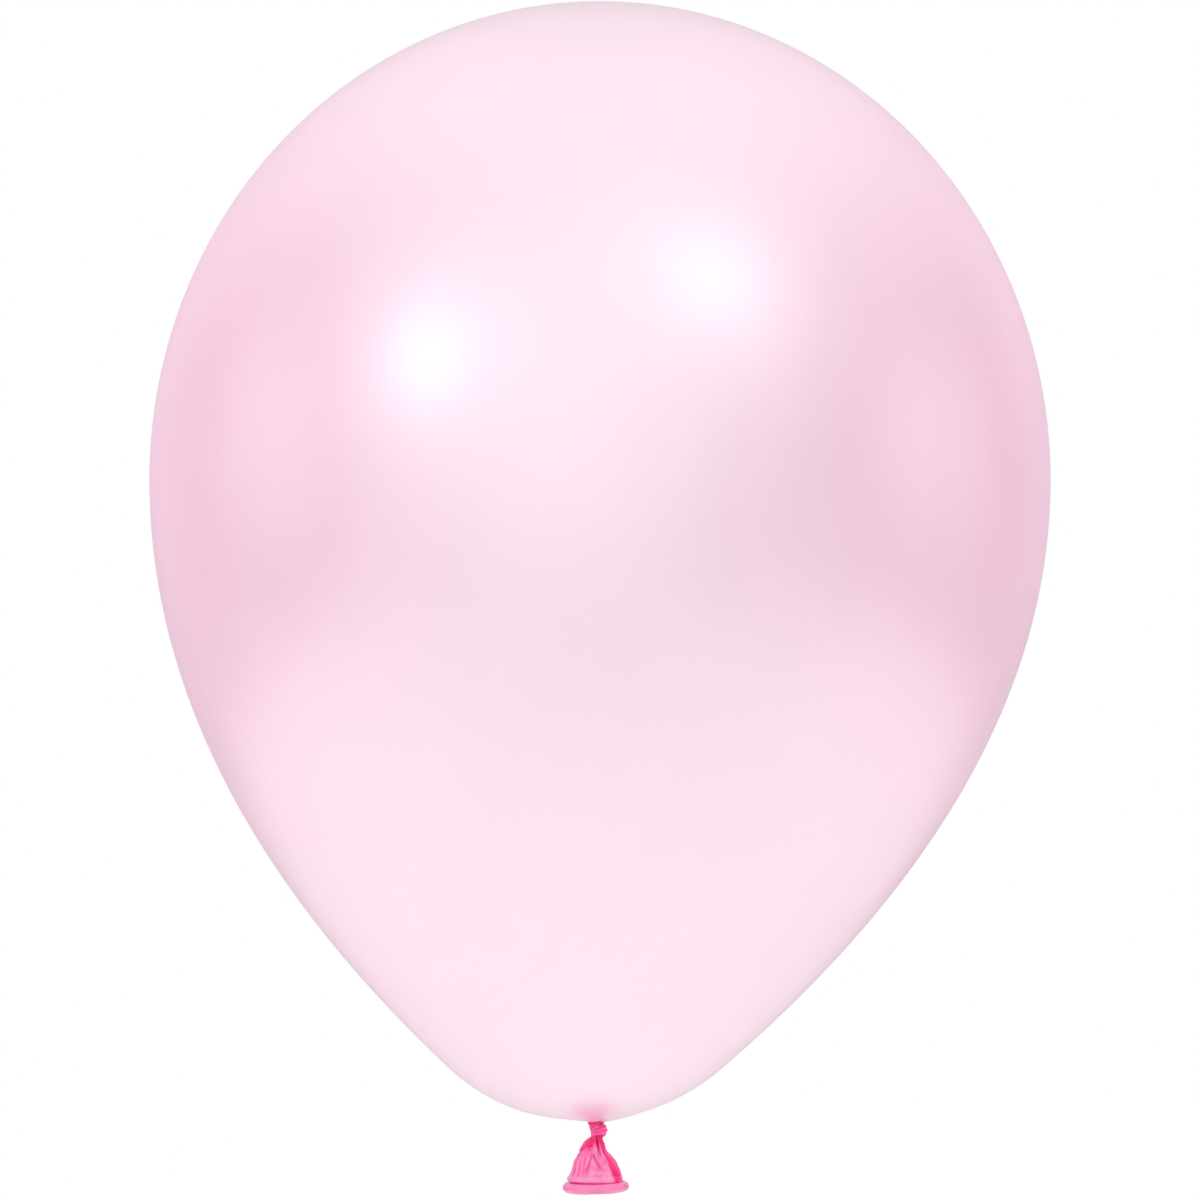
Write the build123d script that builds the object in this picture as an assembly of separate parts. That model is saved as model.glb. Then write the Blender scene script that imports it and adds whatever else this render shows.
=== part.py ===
from build123d import *
import os
from math import asin, cos, radians, sin, sqrt

# A party balloon of dipped latex, blown up and tied in its own neck. Sizes are in millimetres.
# The origin is the pinch, where the neck leaves the inflated skin and a ribbon is tied.
# +Z runs up the axis to the crown. The knot and the tail hang below the origin.

# ---- Driving sizes -------------------------------------------------------------------------

# Inflated skin, from the crown down to the pinch
belly_diameter = 305.0  # widest part of the blown-up skin
crown_height = 162.0  # from the widest level up to the crown
drop_height = 217.0  # from the pinch up to the widest level
base_radius = 69.0  # round of the underside about the pinch
base_sweep = 42.0  # degrees of that round, from the axis to where the flank takes over
belly_pull = 74.5  # how far the flank stays upright below the widest level
flank_pull = 87.2  # how far the flank stays straight above the underside
skin_wall = 0.3  # latex sheet before it is stretched

# Neck between the skin and the knot
neck_radius = 2.3
pucker_radius = 4.2  # bunched skin inside the pinch, which plugs the hole
pucker_height = 1.4

# Knot: the gathered neck, and the loop wound round it
core_top = 1.6  # depth of the core's rim below the pinch
core_length = 3.2
core_taper = 0.6
loop_width = 3.0  # along the neck
loop_thickness = 1.1  # how far the loop stands out from the core
loop_tilt = 12.0  # degrees, high on the +X side
waist_radius = 1.7  # gathered neck where it leaves the knot
waist_length = 1.0

# Tail: the gathered root, the flared skirt and the rolled lip
root_radius = 2.4
root_drop = 1.2  # from the tail's pivot down to the root's rim
gather_length = 3.0  # solid bunched latex inside the top of the skirt
skirt_drop = 12.0  # height of the flare
skirt_slope = 2.0  # depth over which the flare starts to open
skirt_open = 1.0  # how far it opens over that depth
skirt_pull = 4.1  # how far the flare runs upright above the mouth
skirt_wall = 0.3
mouth_radius = 8.7  # inside of the open mouth
mouth_length = 4.4  # straight tube behind the mouth
lip_radius = 1.7  # rolled bead's own section
lip_bury = 0.5  # how far the bead's centre stands outside the tube
lip_rise = 1.4  # from the tube's end up to the bead's centre

# Fits
flex_gap = 0.3  # between latex faces that roll over each other
cutter_length = 200.0  # long enough to cut right through the knot or the lip

# ---- What follows from them ----------------------------------------------------------------

core_radius = neck_radius + flex_gap  # the knot's neck clears the stem that it nods on
waist_top = -(core_top + core_length + core_taper)
tail_pivot = waist_top - waist_length  # the tail flops about this level
root_rim = tail_pivot - root_drop
mouth_top = root_rim - skirt_drop
mouth_end = mouth_top - mouth_length
lip_level = mouth_end + lip_rise
tube_radius = mouth_radius + skirt_wall  # outside of the straight tube


def turned(*edges):
    """The solid swept by an outline drawn in the XZ plane, turned about the balloon's axis."""
    outline = Curve() + list(edges)
    return revolve(Plane.XZ * make_face(outline), Axis.Z)


# ---- Inflated skin -------------------------------------------------------------------------


def skin_outline(inset, inner_radius):
    """The skin's outline from inner_radius on its underside up to the crown, inset from its outside."""
    quarter_ellipse = (1, sqrt(0.5), 1)
    belly = belly_diameter / 2 - inset
    crown = crown_height - inset
    base = base_radius - inset
    start = asin(inner_radius / base)
    sweep = radians(base_sweep)
    middle = (start + sweep) / 2
    low, mid, shoulder = [
        Vector(base * sin(turn), base_radius - base * cos(turn)) for turn in (start, middle, sweep)
    ]
    underside = ThreePointArc(low, mid, shoulder)
    flank = Bezier(
        shoulder,
        shoulder + flank_pull * Vector(cos(sweep), sin(sweep)),
        (belly, drop_height - belly_pull),
        (belly, drop_height),
    )
    top = drop_height + crown
    dome = Bezier((belly, drop_height), (belly, top), (0, top), weights=quarter_ellipse)
    return underside, flank, dome


def gas_space():
    """The space inside the skin."""
    inside = skin_outline(skin_wall, 0)
    return turned(*inside, Line(inside[-1] @ 1, inside[0] @ 0))


def envelope():
    """The thin skin, with a hole in its underside where the neck comes out."""
    outside = skin_outline(0, neck_radius)
    inside = skin_outline(skin_wall, neck_radius)
    hole = Line(outside[0] @ 0, inside[0] @ 0)
    crown = Line(outside[-1] @ 1, inside[-1] @ 1)
    return turned(*outside, crown, *inside, hole)


# ---- Neck ----------------------------------------------------------------------------------


def neck_stem():
    """The twisted neck: bunched puckers inside the skin, a stem in the hole, and a rounded end."""
    puckers = Cylinder(pucker_radius, 2 * pucker_height) & gas_space()
    stem = Cylinder(neck_radius, pucker_height, align=(Align.CENTER, Align.CENTER, Align.MIN))
    return puckers + stem + Sphere(neck_radius)


# ---- Knot ----------------------------------------------------------------------------------


def knot_core():
    """The gathered neck inside the loop: a cup over the stem's end, then a waist with a ball end."""
    rim = -core_top
    shoulder = rim - core_length
    ball_side = Vector(waist_radius, tail_pivot)
    ball_end = Vector(0, tail_pivot - waist_radius)
    ball_middle = Vector(waist_radius * sqrt(0.5), tail_pivot - waist_radius * sqrt(0.5))
    blank = turned(
        Polyline((0, rim), (core_radius, rim), (core_radius, shoulder), (waist_radius, waist_top), ball_side),
        ThreePointArc(ball_side, ball_middle, ball_end),
        Line(ball_end, (0, rim)),
    )
    return blank - Sphere(neck_radius + flex_gap)


def knot_loop():
    """The loop of neck wound round the core, tilted and bedded on it."""
    section = Plane.XZ * Pos(core_radius, 0) * Ellipse(loop_thickness, loop_width / 2)
    ring = Rot(0, -loop_tilt, 0) * revolve(section, Axis.Z)
    level = -(core_top + core_length / 2)
    return Pos(0, 0, level) * ring - Cylinder(core_radius, cutter_length)


# ---- Tail ----------------------------------------------------------------------------------


def flare_outline(inset):
    """The skirt's flare from the root's rim down to the straight tube, inset from its outside."""
    root = root_radius - inset
    mouth = tube_radius - inset
    return Bezier(
        (root, root_rim),
        (root + skirt_open, root_rim - skirt_slope),
        (mouth, mouth_top + skirt_pull),
        (mouth, mouth_top),
    )


def tail_gather():
    """The bunched top of the tail, cupped round the knot's ball end and filling the skirt's top."""
    flare = flare_outline(skirt_wall)
    down_the_axis = Polyline(flare @ 1, (0, mouth_top), (0, root_rim), flare @ 0)
    floor = root_rim - gather_length
    blank = split(turned(flare, down_the_axis), Plane.XY.offset(floor), keep=Keep.TOP)
    return blank - Pos(0, 0, tail_pivot) * Sphere(waist_radius + flex_gap)


def tail_skirt():
    """The thin flared wall and the straight tube behind the mouth."""
    outside = flare_outline(0)
    inside = flare_outline(skirt_wall)
    return turned(
        outside,
        Polyline(outside @ 1, (tube_radius, mouth_end), (mouth_radius, mouth_end), inside @ 1),
        inside,
        Line(inside @ 0, outside @ 0),
    )


def rolled_lip():
    """The bead rolled up outside the mouth, flat where it is stuck to the tube."""
    section = Plane.XZ * Pos(tube_radius + lip_bury, lip_level) * Circle(lip_radius)
    bead = revolve(section, Axis.Z)
    return bead - Cylinder(tube_radius, cutter_length)


pieces = {
    "envelope": envelope,
    "neck_stem": neck_stem,
    "knot_core": knot_core,
    "knot_loop": knot_loop,
    "tail_gather": tail_gather,
    "tail_skirt": tail_skirt,
    "rolled_lip": rolled_lip,
}

os.makedirs("parts", exist_ok=True)
for name, make in pieces.items():
    export_step(make(), f"parts/{name}.step")
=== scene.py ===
import bmesh
import bpy
from math import atan2, cos, degrees, exp, hypot, pi, radians, sin
from mathutils import Matrix, Vector
from mathutils.noise import noise


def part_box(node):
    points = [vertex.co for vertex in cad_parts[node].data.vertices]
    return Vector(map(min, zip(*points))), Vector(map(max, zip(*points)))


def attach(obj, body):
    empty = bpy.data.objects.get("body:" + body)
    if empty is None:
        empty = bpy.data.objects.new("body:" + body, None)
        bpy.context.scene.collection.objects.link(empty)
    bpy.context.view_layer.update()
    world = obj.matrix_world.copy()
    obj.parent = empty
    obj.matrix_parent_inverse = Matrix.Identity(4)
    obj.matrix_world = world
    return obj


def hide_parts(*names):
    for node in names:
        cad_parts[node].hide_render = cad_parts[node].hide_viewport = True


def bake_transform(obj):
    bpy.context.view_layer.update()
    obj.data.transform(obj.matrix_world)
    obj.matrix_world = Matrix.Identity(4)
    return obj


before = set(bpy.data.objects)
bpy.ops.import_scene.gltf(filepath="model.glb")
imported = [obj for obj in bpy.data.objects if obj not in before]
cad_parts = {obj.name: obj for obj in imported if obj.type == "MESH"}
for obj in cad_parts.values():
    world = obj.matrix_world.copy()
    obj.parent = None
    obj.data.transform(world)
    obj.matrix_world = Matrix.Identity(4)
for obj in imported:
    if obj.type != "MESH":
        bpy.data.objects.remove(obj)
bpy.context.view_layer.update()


# ---- The skin ------------------------------------------------------------------------------
# The blown-up part: one sheet of dipped latex with pearl pigment, stretched to a teardrop by the
# gas inside. It is pale where it is thin, and pinker where the neck gathers it and at the drip
# spot on the crown. It leans a little to one side of the knot.

mm = 0.001
skin_low, skin_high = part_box("envelope")
belly_radius = (skin_high.x - skin_low.x) / 2
crown_level = skin_high.z
belly_level = 217 * mm  # where the skin is widest
base_radius = 69 * mm  # round of the underside about the pinch
base_sweep = radians(42)  # the turn of that round, up to where the flank begins
flank_pull = 87.2 * mm  # how strongly the flank keeps the direction of the underside
belly_pull = 74.5 * mm  # and how strongly it comes in upright at the belly
hole_radius = 2.6 * mm  # where the skin turns in to the neck
hole_roll = 0.5 * mm  # the skin rolls up this far, over this width, where it turns in
tuck_height = 2.2 * mm  # how far it goes up inside
bulge_height = 0.3 * mm  # the skin bulges down in a ring round the neck
bulge_radius = 4.2 * mm
bulge_width = 2.4 * mm
base_steps = 32
flank_steps = 60
crown_steps = 72
turns_round = 256


def bezier(a, b, c, d, t):
    """The point at t on the curve from a to d."""
    s = 1 - t
    return s * s * s * a + 3 * s * s * t * b + 3 * s * t * t * c + t * t * t * d


def skin_outline():
    """Points from the tuck in the pinch, down and round the underside, and up to the crown."""
    points = [Vector((0.8 * hole_radius, 0, tuck_height))]
    points.append(Vector((0.86 * hole_radius, 0, tuck_height / 2)))
    hole_sweep = hole_radius / base_radius
    for i in range(base_steps + 1):
        turn = hole_sweep + (base_sweep - hole_sweep) * (i / base_steps) ** 1.6
        out = base_radius * sin(turn)
        sag = bulge_height * exp(-((out - bulge_radius) / bulge_width) ** 2)
        roll = hole_roll * exp(-(out - hole_radius) / hole_roll)
        points.append(Vector((out, 0, base_radius * (1 - cos(turn)) - sag + roll)))
    shoulder = Vector((base_radius * sin(base_sweep), 0, base_radius * (1 - cos(base_sweep))))
    leaving = shoulder + flank_pull * Vector((cos(base_sweep), 0, sin(base_sweep)))
    belly = Vector((belly_radius, 0, belly_level))
    arriving = belly - Vector((0, 0, belly_pull))
    for i in range(1, flank_steps + 1):
        points.append(bezier(shoulder, leaving, arriving, belly, i / flank_steps))
    for i in range(1, crown_steps + 1):
        turn = pi / 2 * i / crown_steps
        level = belly_level + (crown_level - belly_level) * sin(turn)
        points.append(Vector((belly_radius * cos(turn), 0, level)))
    return points


def turned(bm, steps):
    """Spins the outline in bm all the way round the balloon's axis."""
    bmesh.ops.spin(bm, geom=bm.verts[:] + bm.edges[:], cent=(0, 0, 0), axis=(0, 0, 1), dvec=(0, 0, 0),
                   angle=2 * pi, steps=steps, use_merge=True, use_normal_flip=False, use_duplicate=False)
    bmesh.ops.remove_doubles(bm, verts=bm.verts, dist=1e-7)


def spun(points, steps):
    """A mesh turned about the balloon's axis from an open outline in the XZ plane."""
    bm = bmesh.new()
    chain = [bm.verts.new(p) for p in points]
    for pair in zip(chain, chain[1:]):
        bm.edges.new(pair)
    turned(bm, steps)
    return bm


def finished(bm, name):
    """The smooth-shaded object that a finished bmesh becomes."""
    mesh = bpy.data.meshes.new(name)
    bm.to_mesh(mesh)
    bm.free()
    for face in mesh.polygons:
        face.use_smooth = True
    piece = bpy.data.objects.new(name, mesh)
    bpy.context.scene.collection.objects.link(piece)
    return piece


def step(low, high, value):
    """0 below low, 1 above high, and smooth between."""
    t = min(max((value - low) / (high - low), 0), 1)
    return t * t * (3 - 2 * t)


skin_lean = 1.4 * mm  # the belly's centre stands this far from the knot
skin_sway = 5.8 * mm  # and the underside swings back by this much
lean_radius = 22 * mm  # inside this radius the lean fades away towards the neck
pucker_reach = 7 * mm
pucker_depth = 0.32 * mm

bm = spun(skin_outline(), turns_round)
for v in bm.verts:
    out = hypot(v.co.x, v.co.y)
    angle = atan2(v.co.y, v.co.x)
    pucker = cos(9 * angle + 1.3 * sin(2 * angle + 0.4)) + 0.5 * cos(14 * angle + 2 * sin(angle))
    if v.co.z < belly_level:
        v.co.z += pucker_depth * pucker * exp(-out / pucker_reach)
    drop = min(max(1 - v.co.z / belly_level, 0), 1)
    v.co.x += (skin_lean - skin_sway * drop * drop) * step(hole_radius, lean_radius, out)
bmesh.ops.recalc_face_normals(bm, faces=bm.faces)
skin = finished(bm, "skin")


def add(tree, kind, inputs=None, **settings):
    """A shader node with these settings, and its inputs set to values or linked to sockets."""
    made = tree.nodes.new(kind)
    for key, value in settings.items():
        setattr(made, key, value)
    for key, value in (inputs or {}).items():
        if isinstance(value, bpy.types.NodeSocket):
            tree.links.new(value, made.inputs[key])
        else:
            made.inputs[key].default_value = value
    return made


def new_material(name, sockets):
    """A material: its tree, its shader with these sockets set, and Object coordinates."""
    material = bpy.data.materials.new(name)
    material.use_nodes = True
    tree = material.node_tree
    tree.nodes.clear()
    shader = add(tree, "ShaderNodeBsdfPrincipled", sockets)
    add(tree, "ShaderNodeOutputMaterial", {"Surface": shader.outputs["BSDF"]})
    place = add(tree, "ShaderNodeTexCoord").outputs["Object"]
    return material, tree, shader, place


def ramp(tree, factor, stops, interpolation="EASE"):
    """A colour ramp over these (place, colour) stops."""
    made = add(tree, "ShaderNodeValToRGB", {"Fac": factor})
    made.color_ramp.interpolation = interpolation
    while len(made.color_ramp.elements) < len(stops):
        made.color_ramp.elements.new(0.5)
    for element, (place, colour) in zip(made.color_ramp.elements, stops):
        element.position = place
        element.color = (*colour, 1)
    return made.outputs["Color"]


def clouds(tree, place, scale, stretch=(1, 1, 1), detail=3.0, rough=0.5):
    """Soft noise over the piece: scale is per metre, and stretch squeezes it along each axis."""
    mapped = add(tree, "ShaderNodeMapping", {"Vector": place, "Scale": stretch}).outputs["Vector"]
    return add(tree, "ShaderNodeTexNoise", {"Vector": mapped, "Scale": scale, "Detail": detail,
                                            "Roughness": rough}).outputs["Fac"]


def between_clouds(tree, noise_value, low, high):
    """A value from low to high, as the noise goes from its dark patches to its pale ones."""
    return add(tree, "ShaderNodeMapRange", {"Value": noise_value, "From Min": 0.3, "From Max": 0.7,
                                            "To Min": low, "To Max": high}).outputs["Result"]


def tinted(tree, colour, noise_value, low, high):
    """The colour multiplied by a shade that goes from low to high with the noise."""
    shade = between_clouds(tree, noise_value, low, high)
    scaled = add(tree, "ShaderNodeVectorMath", {0: colour, "Scale": shade}, operation="SCALE")
    return scaled.outputs["Vector"]


def surfaced(tree, shader, colour, roughness, height, strength, depth):
    """Gives the shader its colour, its roughness, and a bump of this height, strength and depth."""
    tree.links.new(colour, shader.inputs["Base Color"])
    tree.links.new(roughness, shader.inputs["Roughness"])
    bump = add(tree, "ShaderNodeBump", {"Height": height, "Strength": strength, "Distance": depth})
    tree.links.new(bump.outputs["Normal"], shader.inputs["Normal"])


pale_pink = (0.86, 0.53, 0.685)
blush = (0.90, 0.61, 0.75)
neck_pink = (0.85, 0.13, 0.36)
spot_pink = (0.88, 0.42, 0.60)
blush_reach = 60 * mm  # from the pinch to where the skin has its own colour
spot_core = 4 * mm
spot_edge = 17 * mm
spot_strength = 0.55

# The pearl flakes lie flat in the skin, so they throw back far more light than bare latex does.
pearl, tree, shader, place = new_material("pearl_latex", {
    "IOR": 2.4, "Specular IOR Level": 0.8, "Coat Weight": 1.0, "Coat Roughness": 0.36, "Coat IOR": 3.2})
from_pinch = add(tree, "ShaderNodeVectorMath", {0: place}, operation="LENGTH").outputs["Value"]
stretch = add(tree, "ShaderNodeMapRange", {"Value": from_pinch, "From Min": 0.0, "From Max": blush_reach})
colour = ramp(tree, stretch.outputs["Result"],
              [(0.035, neck_pink), (0.06, blush), (0.15, blush), (0.5, pale_pink)])
from_crown = add(tree, "ShaderNodeVectorMath", {0: place, 1: (skin_lean, 0, crown_level)},
                 operation="DISTANCE").outputs["Value"]
spot = add(tree, "ShaderNodeMapRange", {"Value": from_crown, "From Min": spot_core, "From Max": spot_edge,
                                        "To Min": spot_strength, "To Max": 0.0},
           interpolation_type="SMOOTHSTEP")
colour = add(tree, "ShaderNodeMix", {"Factor": spot.outputs["Result"], "A": colour, "B": (*spot_pink, 1)},
             data_type="RGBA").outputs["Result"]
colour = tinted(tree, colour, clouds(tree, place, 14), 0.985, 1.015)
colour = tinted(tree, colour, clouds(tree, place, 55, (1, 1, 0.12)), 0.99, 1.01)
flakes = clouds(tree, place, 2600, detail=1.0)
colour = tinted(tree, colour, flakes, 0.985, 1.015)
roughness = between_clouds(tree, clouds(tree, place, 30), 0.46, 0.54)
surfaced(tree, shader, colour, roughness, height=flakes, strength=0.06, depth=0.05 * mm)
skin.data.materials.append(pearl)
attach(skin, "skin")
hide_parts("envelope")


# ---- The neck ------------------------------------------------------------------------------
# The balloon's neck, gathered and twisted into a stem. It comes out of the skin at the pinch and
# runs down through the knot to its waist. Bunched like this the latex is thick, so it is hot pink.

# The stem's level and radius at each place, in millimetres, from inside the skin to the waist.
neck_profile = [(2.4, 1.6), (1.0, 2.6), (0.3, 3.3), (-0.2, 3.4), (-0.9, 2.75), (-2.2, 2.2),
                (-4.6, 1.75), (-6.4, 1.5)]
neck_steps = 44
neck_turns = 144
neck_pleats = 7
neck_twist = radians(75)  # over each twist_length
twist_length = 6  # millimetres
pleat_depth = 0.16  # share of the radius
collar_depth = 0.16  # the pleats are this much deeper in the collar under the skin
collar_shift = 0.3 * mm
crumple_depth = 0.03


def follow(stations, level):
    """The value at this level of a smooth line through (level, value) stations, from the top down."""
    for (above, start), (below, end) in zip(stations, stations[1:]):
        if level >= below:
            return start + (end - start) * step(0, 1, (above - level) / (above - below))
    return stations[-1][1]


def uneven(angle, shift):
    """An angle that runs faster and slower round the neck, so that no two pleats are alike."""
    return angle + 0.22 * sin(2 * angle + shift) + 0.13 * sin(3 * angle + 2 * shift)


def pleat_height(count, angle, roundness):
    """1 on the crest of a pleat and 0 in the valley beside it."""
    return abs(cos(count * angle / 2)) ** roundness


def evenly(top, end, steps):
    """Levels from top to end, with this many steps between."""
    return [top + (end - top) * i / steps for i in range(steps + 1)]


neck_top = neck_profile[0][0]
neck_end = neck_profile[-1][0]
outline = [Vector((follow(neck_profile, z) * mm, 0, z * mm)) for z in evenly(neck_top, neck_end, neck_steps)]
outline = [Vector((0, 0, neck_top * mm)), *outline, Vector((0, 0, neck_end * mm))]
bm = spun(outline, neck_turns)
darkness_layer = bm.verts.layers.float.new("darkness")  # 0 where the latex is slack, 1 in the deepest painted shade
for v in bm.verts:
    out = hypot(v.co.x, v.co.y)
    if out < 0.1 * mm:  # the points on the axis stay
        continue
    level = v.co.z / mm
    angle = atan2(v.co.y, v.co.x)
    pleat = pleat_height(neck_pleats, uneven(angle + neck_twist * (level / twist_length), 0.7), 0.8)
    left = (1 - cos(angle)) / 2
    pinch_shade = step(-2.5, -1.1, level) * (0.9 - 0.6 * left ** 2)  # painted shade under the skin's rim at the pinch, less on the left side, towards the key light
    # The darkness is painted shade: in the valleys between the pleats, and under the skin's rim.
    v[darkness_layer] = min(0.7 * (1 - pleat) + pinch_shade, 1)
    swell = 1 - (pleat_depth + collar_depth * step(-1.5, 0.3, level)) * (1 - pleat)
    swell += crumple_depth * noise(Vector((3 * cos(angle), 3 * sin(angle), level)))
    v.co.x *= swell
    v.co.y *= swell
    v.co.x += collar_shift * step(-0.8, 0.2, level)
bmesh.ops.recalc_face_normals(bm, faces=bm.faces)
neck = finished(bm, "neck")

# hot_pink is the neck's own colour; the darker pink is painted shade for its pleat valleys.
hot_pink = (0.90, 0.105, 0.40)
shadow_pink = (0.76, 0.008, 0.14)

bunched, tree, shader, place = new_material("bunched_latex", {
    "Subsurface Weight": 0.25, "Subsurface Radius": (1.0, 0.25, 0.4), "Subsurface Scale": 1.2 * mm,
    "Coat Weight": 0.3, "Coat Roughness": 0.25})
# The darkness attribute takes the neck from its own hot pink into painted shade.
darkness = add(tree, "ShaderNodeAttribute", attribute_name="darkness").outputs["Fac"]
colour = ramp(tree, darkness, [(0.05, hot_pink), (0.75, shadow_pink)])
colour = tinted(tree, colour, clouds(tree, place, 700), 0.93, 1.07)
wrinkle = clouds(tree, place, 1500, (1, 1, 0.35), detail=4.0)
roughness = between_clouds(tree, wrinkle, 0.36, 0.5)
surfaced(tree, shader, colour, roughness, height=wrinkle, strength=0.35, depth=0.12 * mm)
neck.data.materials.append(bunched)
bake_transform(neck)
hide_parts("neck_stem", "knot_core")


# ---- The knot ------------------------------------------------------------------------------
# The neck is wound once round itself and pulled tight. The turn is a broad band of gathered
# latex with ridges along it, low on one side, and it bulges where the neck is pulled through.

band_height = 3.0 * mm
band_inside = 1.5 * mm  # its inner radius, within the neck that it is wound on
band_wall = 1.0 * mm
band_tilt = radians(11)
band_level = -3.75 * mm
band_shift = 0.3 * mm
band_ridges = 3
ridge_height = 0.16  # share of the wall
band_steps = 160
section_points = 56
bulge_sweep = radians(52)  # the neck is pulled through at +X, and the bulge fades over this turn
bulge_stretch = 0.62  # how much taller the band is there

bm = bmesh.new()
bmesh.ops.create_circle(bm, cap_ends=False, radius=band_wall, segments=section_points)
for v in bm.verts:
    turn = atan2(v.co.y, v.co.x)
    ridge = 1 + ridge_height * (abs(cos(band_ridges * pi * sin(turn) / 2 + 0.5)) - 0.5)
    bow = cos(turn) ** 0.7 * ridge if cos(turn) > 0 else 0.35 * cos(turn)
    v.co = Vector((band_inside + bow * band_wall, 0, band_height / 2 * sin(turn)))
turned(bm, band_steps)
darkness_layer = bm.verts.layers.float.new("darkness")
for v in bm.verts:
    angle = atan2(v.co.y, v.co.x)
    out = hypot(v.co.x, v.co.y)
    pulled = exp(-(angle / bulge_sweep) ** 2)
    rise = v.co.z / band_height
    groove = 0.5 + 0.5 * cos(band_ridges * 2 * pi * rise + 1.0)
    # Painted shade in the grooves between the ridges, and along the band's top and bottom edges where it
    # meets the neck.
    v[darkness_layer] = 0.55 * groove + 0.4 * step(0.38, 0.5, abs(rise))
    thick = 0.5 + 0.4 * (1 + cos(angle)) / 2 + 1.2 * pulled * (1 - 1.6 * (rise - 0.16) ** 2)
    thick += 0.12 * noise(Vector((2.5 * cos(angle), 2.5 * sin(angle), rise * 4)))
    grown = band_inside + (out - band_inside) * (thick if out > band_inside else 1)
    v.co.x *= grown / out
    v.co.y *= grown / out
    v.co.z *= 1 + bulge_stretch * pulled
bmesh.ops.rotate(bm, verts=bm.verts, cent=(0, 0, 0), matrix=Matrix.Rotation(-band_tilt, 3, "Y"))
bmesh.ops.translate(bm, verts=bm.verts, vec=(band_shift, 0, band_level))
bmesh.ops.recalc_face_normals(bm, faces=bm.faces)
knot_band = finished(bm, "knot_band")
knot_band.data.materials.append(bunched)
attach(knot_band, "knot")
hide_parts("knot_loop")


# ---- The tail ------------------------------------------------------------------------------
# What is left of the neck below the knot. It is slack latex, so it flares back to its own width
# and keeps the pleats and creases that the knot gathered it into. It ends in the hem, where the
# sheet turns out over the rolled lip.

# The skirt's level and radius on each side, in millimetres, from the knot to the hem.
left_side = [(-4.9, 1.2), (-5.5, 1.5), (-6.2, 2.9), (-7.4, 4.15), (-8.8, 4.95), (-10.9, 5.8),
             (-13.8, 7.3), (-16.3, 8.0), (-18.0, 8.6), (-18.8, 9.2), (-19.6, 9.9), (-20.3, 9.8),
             (-20.8, 9.2), (-21.4, 8.5)]
right_side = [(-4.9, 1.6), (-5.8, 2.4), (-6.8, 2.25), (-8.8, 2.85), (-10.6, 3.5), (-12.0, 5.1),
              (-14.1, 6.6), (-16.6, 7.8), (-19.1, 8.8), (-20.0, 9.2), (-20.5, 9.1), (-21.4, 8.5)]
skirt_rings = 140
skirt_turns = 300
skirt_wall = 0.3 * mm
skirt_pleats = 9
gather_depth = 0.34  # share of the radius that the pleats take at the knot
slack_depth = 0.14  # the darkness of the slack latex's own colour, below the painted shade, with the hem as 0
panel_edge = -52  # the angle in degrees where the flat right-hand panel begins, at the knot
panel_sweep = 21  # and how far round its edge has come at the hem
# Creases: the angles where each begins and ends, in degrees, how far down the skirt it begins and
# ends, from 0 to 1, its depth in millimetres, and its width in degrees.
creases = [
    (panel_edge, panel_edge + panel_sweep, 0.05, 1.1, 1.0, 8),
    (-103, -114, 0.34, 0.78, 0.38, 3.5),
    (-103, -72, 0.34, 0.72, 0.38, 4),
    (-139, -134, 0.42, 0.92, 0.35, 3.5),
    (-126, -120, 0.38, 0.84, 0.35, 3.5),
    (-158, -151, 0.45, 0.95, 0.3, 4),
    (-128, -118, 0.02, 0.36, 0.45, 8),
    (-84, -72, 0.02, 0.42, 0.45, 8),
    (20, 32, 0.04, 0.95, 0.8, 11),
    (64, 58, 0.04, 0.8, 0.7, 9),
    (100, 112, 0.04, 1.0, 0.9, 11),
    (140, 150, 0.04, 0.9, 0.6, 9),
]
tuck_side = -10.9  # the tuck under the puffed fold, at the left side,
tuck_front = -8.4  # and where it has come round to the front
catch_angle = -102  # the small bump that stands out near the hem
catch_level = -17.0
hem_level = -20.9


def straight(stations, level):
    """The value at this level of a straight line through (level, value) stations, from the top down."""
    for (above, start), (below, end) in zip(stations, stations[1:]):
        if level >= below:
            return start + (end - start) * min(max((above - level) / (above - below), 0), 1)
    return stations[-1][1]


def rounded(stations, level):
    """The same, with each corner rounded over this reach above and below it."""
    reach = 0.45
    return sum(straight(stations, level + shift) for shift in (-reach, -reach / 2, 0, reach / 2, reach)) / 5


def apart(a, b):
    """The signed angle in degrees from b to a, between -180 and 180."""
    return (a - b + 180) % 360 - 180


def creased(around, down):
    """How far the creases push the sheet out here, in millimetres, and how much painted shade they put
    in their valleys, less a little painted highlight on their ridges. Each is a valley with a ridge on one
    side, and fades at both its ends."""
    push = 0
    darkness = 0
    for start, end, begin, finish, deep, wide in creases:
        along = (down - begin) / (finish - begin)
        off = apart(around, start + (end - start) * along)
        spread = wide * (0.7 + 0.6 * down)
        fade = step(0, 0.18, along) * (1 - step(0.75, 1, along))
        valley = exp(-abs(off / spread) ** 1.5) * fade
        ridge = exp(-((off + 1.7 * spread) / spread) ** 2) * fade
        push += (0.45 * ridge - valley) * deep
        darkness += 1.1 * valley * min(deep, 1) - 0.12 * ridge
    return push, darkness


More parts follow.
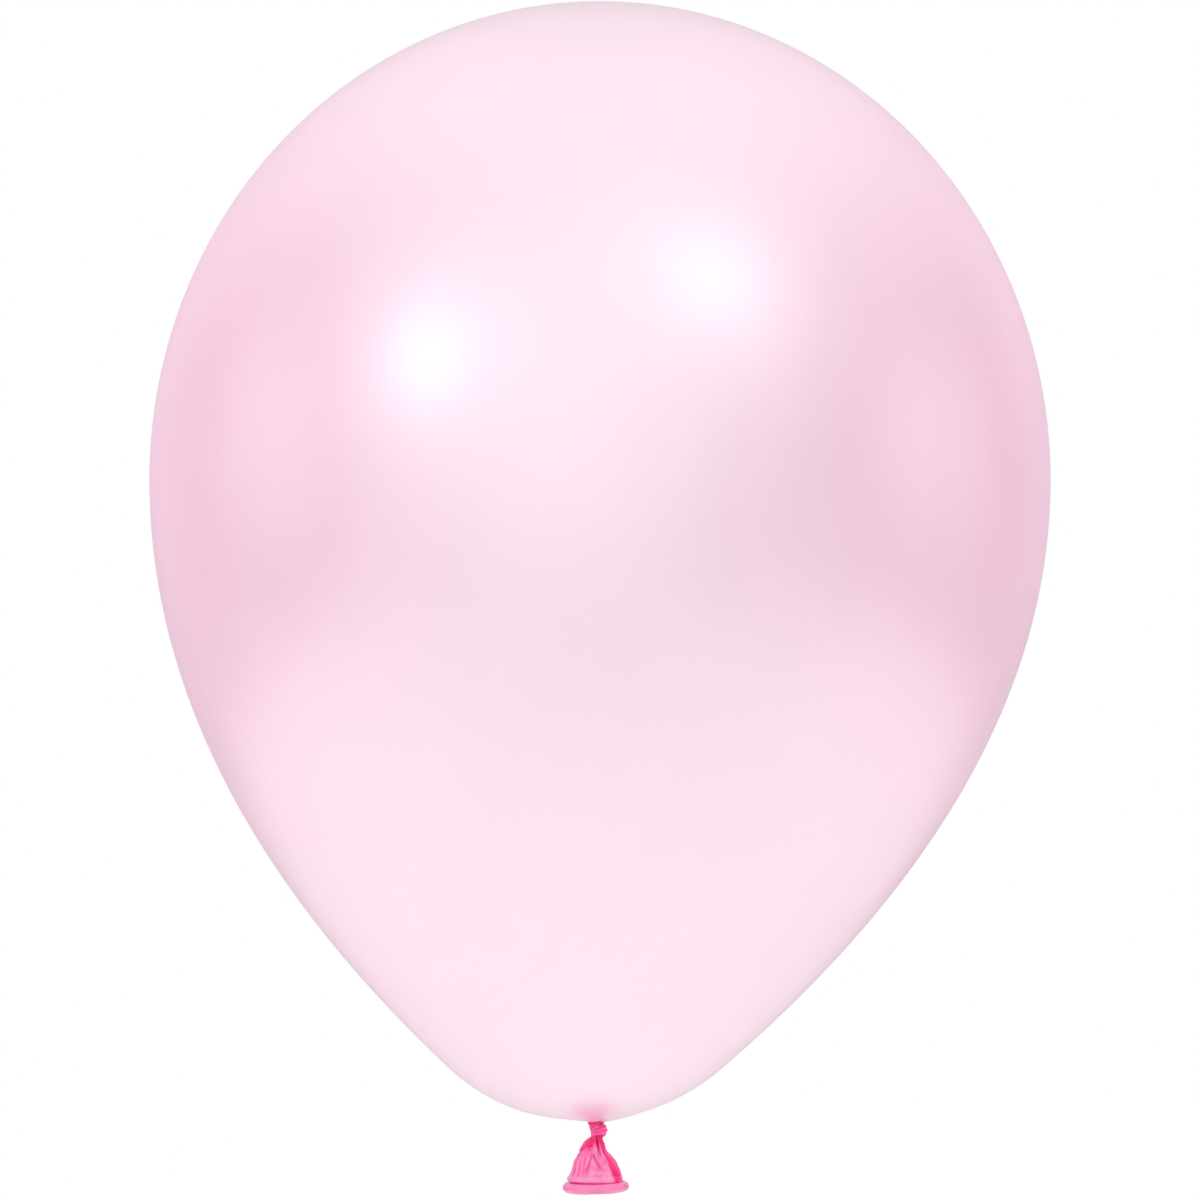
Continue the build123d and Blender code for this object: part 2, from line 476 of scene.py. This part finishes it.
def tucked(around, level):
    """The same for the puff on the left: it stands out over a groove at its lower edge, with a painted
    shadow along the groove and painted shade on the puff just above it.
    """
    tuck = tuck_side + (tuck_front - tuck_side) * step(180, 236, around % 360)
    above = level - tuck
    here = step(150, 182, around % 360) * (1 - step(244, 262, around % 360))
    puff = 0.12 * step(0, 0.5, above)
    groove = 0.4 * step(-0.4, 0.1, above) - 0.4 * step(0.0, 0.35, above)
    push = here * (puff - groove) * (1 - step(1.2, 2.8, above)) * step(-2.4, -0.4, above)
    line = 0.8 * exp(-((above + 0.1) / 0.35) ** 2)
    shade = 0.4 * step(0, 0.3, above) * (1 - step(1.6, 3.4, above))
    return push, here * (line + shade)


def panel_shade(around, down):
    """The painted shade on the flat right-hand panel behind its crease, the side turned away from the key
    light.
    """
    beside = apart(around, panel_edge + panel_sweep * down)
    return 0.42 * step(0, 7, beside) * (1 - step(60, 90, beside)) * (1 - step(0.85, 0.95, down))


def hem_shade(angle, level):
    """The same for the hem, which is the palest, and the painted shadow in the groove under it, which comes
    and goes.
    """
    groove = hem_level + 0.28 * noise(Vector((5 * cos(angle), 5 * sin(angle), 2)))
    strength = 0.75 + 0.6 * noise(Vector((9 * cos(angle), 9 * sin(angle), 5)))
    return 0.9 * exp(-((level - groove) / 0.32) ** 2) * strength - slack_depth * step(-18.2, -19.0, level)


skirt_top = left_side[0][0]
skirt_end = left_side[-1][0]
levels = [skirt_top + (skirt_end - skirt_top) * (i / skirt_rings) ** 0.9 for i in range(skirt_rings + 1)]
bm = spun([Vector((rounded(left_side, z) * mm, 0, z * mm)) for z in levels], skirt_turns)
darkness_layer = bm.verts.layers.float.new("darkness")
for v in bm.verts:
    level = v.co.z / mm
    down = (skirt_top - level) / (skirt_top - skirt_end)
    angle = atan2(v.co.y, v.co.x)
    around = degrees(angle)
    left = rounded(left_side, level)
    right = rounded(right_side, level)
    out = left + (right - left) * (1 + cos(angle)) / 2
    valley = 1 - pleat_height(skirt_pleats, uneven(angle - 0.5 * down, 1.9), 0.75)
    gather = gather_depth * (1 - step(0.0, 0.55, down)) * step(0.0, 0.05, down)
    gather *= 0.2 + 0.8 * sin(angle) ** 2  # weaker at the two sides
    out *= 1 - gather * valley
    # Darkness: the slack latex's own colour, painted shade in the valleys of the gathered pleats, and darker
    # over the top of the skirt next to the knot.
    darkness = slack_depth + 1.8 * valley * gather + 0.9 * (1 - step(0.05, 0.27, down))
    crease_push, crease_shade = creased(around, down)
    tuck_push, tuck_shade = tucked(around, level)
    catch = exp(-((apart(around, catch_angle) / 7) ** 2) - ((level - catch_level) / 1.3) ** 2)
    crumple = noise(Vector((7 * cos(angle), 7 * sin(angle), level * 0.55 + 3)))
    crumple += 0.5 * abs(noise(Vector((16 * cos(angle), 16 * sin(angle), level * 1.1 + 9))))
    crumple *= step(0.05, 0.3, down) * (1 - step(0.75, 0.97, down))
    out += crease_push + tuck_push + 0.4 * catch + 0.24 * crumple
    darkness += crease_shade + tuck_shade + panel_shade(around, down) + hem_shade(angle, level)
    # Painted highlight: the crumples and the catch are made paler where they stand out.
    v[darkness_layer] = min(max(darkness - 0.22 * crumple - 0.14 * catch, 0), 1)
    v.co.x = out * mm * cos(angle)
    v.co.y = out * mm * sin(angle)
bmesh.ops.recalc_face_normals(bm, faces=bm.faces)
skirt = finished(bm, "skirt")
wall = skirt.modifiers.new("wall", "SOLIDIFY")
wall.thickness = skirt_wall
wall.offset = -1
wall.use_rim = True

# hem_pink and slack_pink are the latex's own colours; the two darker pinks are painted shade for creases and
# folds.
hem_pink = (0.79, 0.25, 0.43)
slack_pink = (0.76, 0.16, 0.37)
shade_pink = (0.84, 0.03, 0.24)

tail_latex, tree, shader, place = new_material("tail_latex", {
    "Subsurface Weight": 0.3, "Subsurface Radius": (1.0, 0.3, 0.5), "Subsurface Scale": 1.0 * mm,
    "Coat Weight": 0.75, "Coat Roughness": 0.14})
# The darkness attribute steps from the latex's own pinks into painted shade.
darkness = add(tree, "ShaderNodeAttribute", attribute_name="darkness").outputs["Fac"]
colour = ramp(tree, darkness, [(0.0, hem_pink), (slack_depth, slack_pink), (0.6, shade_pink), (1.0, shadow_pink)],
              "LINEAR")
colour = tinted(tree, colour, clouds(tree, place, 320, (1, 1, 0.5)), 0.92, 1.08)
colour = tinted(tree, colour, clouds(tree, place, 3000, detail=1.0), 0.97, 1.03)
wrinkle = clouds(tree, place, 900, (1, 1, 0.3), detail=5.0, rough=0.55)
roughness = between_clouds(tree, wrinkle, 0.28, 0.42)
surfaced(tree, shader, colour, roughness, height=wrinkle, strength=0.4, depth=0.15 * mm)
skirt.data.materials.append(tail_latex)
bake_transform(skirt)
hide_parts("tail_gather", "tail_skirt")


# ---- The rolled lip ------------------------------------------------------------------------
# The bead at the mouth: the wet latex is rolled up on itself before it is cured, so it is a soft
# round cord, stuck to the tube, with the last turn of the roll showing as a line.

lip_low, lip_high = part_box("rolled_lip")
lip_radius = (lip_high.z - lip_low.z) / 2
lip_ring = (lip_high.x - lip_low.x) / 2 - lip_radius
lip_level = (lip_high.z + lip_low.z) / 2
lip_tilt = radians(1.5)
lip_steps = 200
lip_points = 48
seam_place = 1.75  # radians round the bead from its outer side, on top
seam_width = 0.16
seam_depth = 0.1  # share of the bead's radius

bm = bmesh.new()
bmesh.ops.create_circle(bm, cap_ends=False, radius=lip_radius, segments=lip_points)
bmesh.ops.rotate(bm, verts=bm.verts, cent=(0, 0, 0), matrix=Matrix.Rotation(pi / 2, 3, "X"))
bmesh.ops.translate(bm, verts=bm.verts, vec=(lip_ring, 0, 0))
turned(bm, lip_steps)
darkness_layer = bm.verts.layers.float.new("darkness")
for v in bm.verts:
    angle = atan2(v.co.y, v.co.x)
    centre = Vector((lip_ring * cos(angle), lip_ring * sin(angle), 0))
    arm = v.co - centre
    round_bead = atan2(arm.z, arm.dot(centre.normalized()))
    seam = exp(-((round_bead - seam_place - 0.1 * sin(3 * angle)) / seam_width) ** 2)
    swell = 1 + 0.05 * noise(Vector((1.6 * cos(angle), 1.6 * sin(angle), 0.5)))
    swell += 0.03 * noise(Vector((9 * cos(angle), 9 * sin(angle), 2 * arm.z / lip_radius)))
    # The lip's own colour, with painted shade along the groove of the seam.
    v[darkness_layer] = 0.1 + 0.7 * seam
    v.co = centre + arm * (swell - seam_depth * seam)
bmesh.ops.rotate(bm, verts=bm.verts, cent=(0, 0, 0), matrix=Matrix.Rotation(-lip_tilt, 3, "Y"))
bmesh.ops.translate(bm, verts=bm.verts, vec=(0, 0, lip_level))
bmesh.ops.recalc_face_normals(bm, faces=bm.faces)
lip = finished(bm, "lip")
lip.data.materials.append(tail_latex)
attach(lip, "tail")
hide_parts("rolled_lip")


# ---- The studio ----------------------------------------------------------------------------
# The balloon hangs in a white studio over a pale floor. Two soft boxes stand in front, and four
# fills light the flanks, the front and the back. The room is bright overhead, below, in front and
# at the backdrop, and dim at the sides.

scene = bpy.context.scene
scene.view_settings.view_transform = "Standard"
camera_distance = 2.0
camera_level = 0.1765
frame_height = 0.4072  # the height that the camera takes in at the balloon

eye = bpy.data.cameras.new("camera")
eye.sensor_width = 36.0
eye.lens = eye.sensor_width * camera_distance / frame_height
eye.clip_start = 0.01
camera = bpy.data.objects.new("camera", eye)
camera.location = (skin_lean, -camera_distance, camera_level)
camera.rotation_euler = (pi / 2, 0, 0)
scene.collection.objects.link(camera)
scene.camera = camera

floor_level = -0.6
floor_radius = 2.2

bm = bmesh.new()
bmesh.ops.create_circle(bm, cap_ends=True, radius=floor_radius, segments=96)
bmesh.ops.translate(bm, verts=bm.verts, vec=(0, 0, floor_level))
floor = finished(bm, "floor")
paper, tree, shader, place = new_material("paper", {"Roughness": 0.8})
shade = tinted(tree, (0.93, 0.93, 0.93), clouds(tree, place, 3), 0.99, 1.01)
tree.links.new(shade, shader.inputs["Base Color"])
floor.data.materials.append(paper)

belly_centre = Vector((skin_lean, 0, belly_level))
fill_spread = radians(109)


def soft_box(name, away, size, power, mirrored=True, spread=pi):
    """A round soft box this far away from the belly's centre, turned to it.
    One that isn't mirrored gives light, but no reflection."""
    lamp = bpy.data.lights.new(name, "AREA")
    lamp.shape = "DISK"
    lamp.size = size
    lamp.energy = power
    lamp.spread = spread
    box = bpy.data.objects.new(name, lamp)
    box.location = belly_centre + Vector(away)
    box.rotation_euler = (-Vector(away)).to_track_quat("-Z", "Y").to_euler()
    box.visible_glossy = mirrored
    scene.collection.objects.link(box)


soft_box("key", (-0.9675, -0.9735, 0.6), 0.42, 1.15)
soft_box("second", (0.66, -0.93, 0.98), 0.5, 0.9)
for name, away, size, power in [
    ("left_fill", (-0.85, -0.05, 0.1), 0.5, 2.4),
    ("right_fill", (0.85, -0.05, 0.1), 0.5, 2.4),
    ("front_fill", (0, -1.5, -0.1), 0.8, 2.15),
    ("back_fill", (0.2, 1.5, 0), 0.8, 6.0),
]:
    soft_box(name, away, size, power, mirrored=False, spread=fill_spread)

world = bpy.data.worlds.new("studio")
scene.world = world
world.use_nodes = True
tree = world.node_tree
tree.nodes.clear()
facing = add(tree, "ShaderNodeTexCoord").outputs["Generated"]
light = add(tree, "ShaderNodeValue").outputs["Value"]
light.default_value = 0.045  # the room itself
# Bright patches of the room: the way to each one's middle, the cosine at its edge, and its strength.
for way, edge, strength in [
    ((0, 0, 1), 0.3, 0.78),  # the ceiling
    ((0, 0, -1), 0.4, 0.5),  # the floor
    ((0, -1, 0), -0.05, 0.54),  # the wall behind the camera
    ((-0.512, -0.82, 0.256), 0.75, 0.42),  # and the glow on it below each soft box
    ((0.303, -0.808, 0.505), 0.75, 0.34),
    ((0, 0.6, 0.8), 0.5, 0.42),  # the sweep over the backdrop
    ((0, 1, 0), 0.6, 0.36),  # the backdrop
]:
    toward = add(tree, "ShaderNodeVectorMath", {0: facing, 1: way}, operation="DOT_PRODUCT").outputs["Value"]
    patch = add(tree, "ShaderNodeMapRange", {"Value": toward, "From Min": edge, "To Max": strength})
    lit = add(tree, "ShaderNodeMath", {0: light, 1: patch.outputs["Result"]}, operation="ADD")
    light = lit.outputs["Value"]
seen = add(tree, "ShaderNodeLightPath").outputs["Is Camera Ray"]
bounce = add(tree, "ShaderNodeBackground", {"Color": (1, 1, 1, 1), "Strength": light}).outputs["Background"]
backdrop = add(tree, "ShaderNodeBackground", {"Color": (1, 1, 1, 1), "Strength": 1.0}).outputs["Background"]
mixed = add(tree, "ShaderNodeMixShader", {0: seen, 1: bounce, 2: backdrop}).outputs["Shader"]
add(tree, "ShaderNodeOutputWorld", {"Surface": mixed})
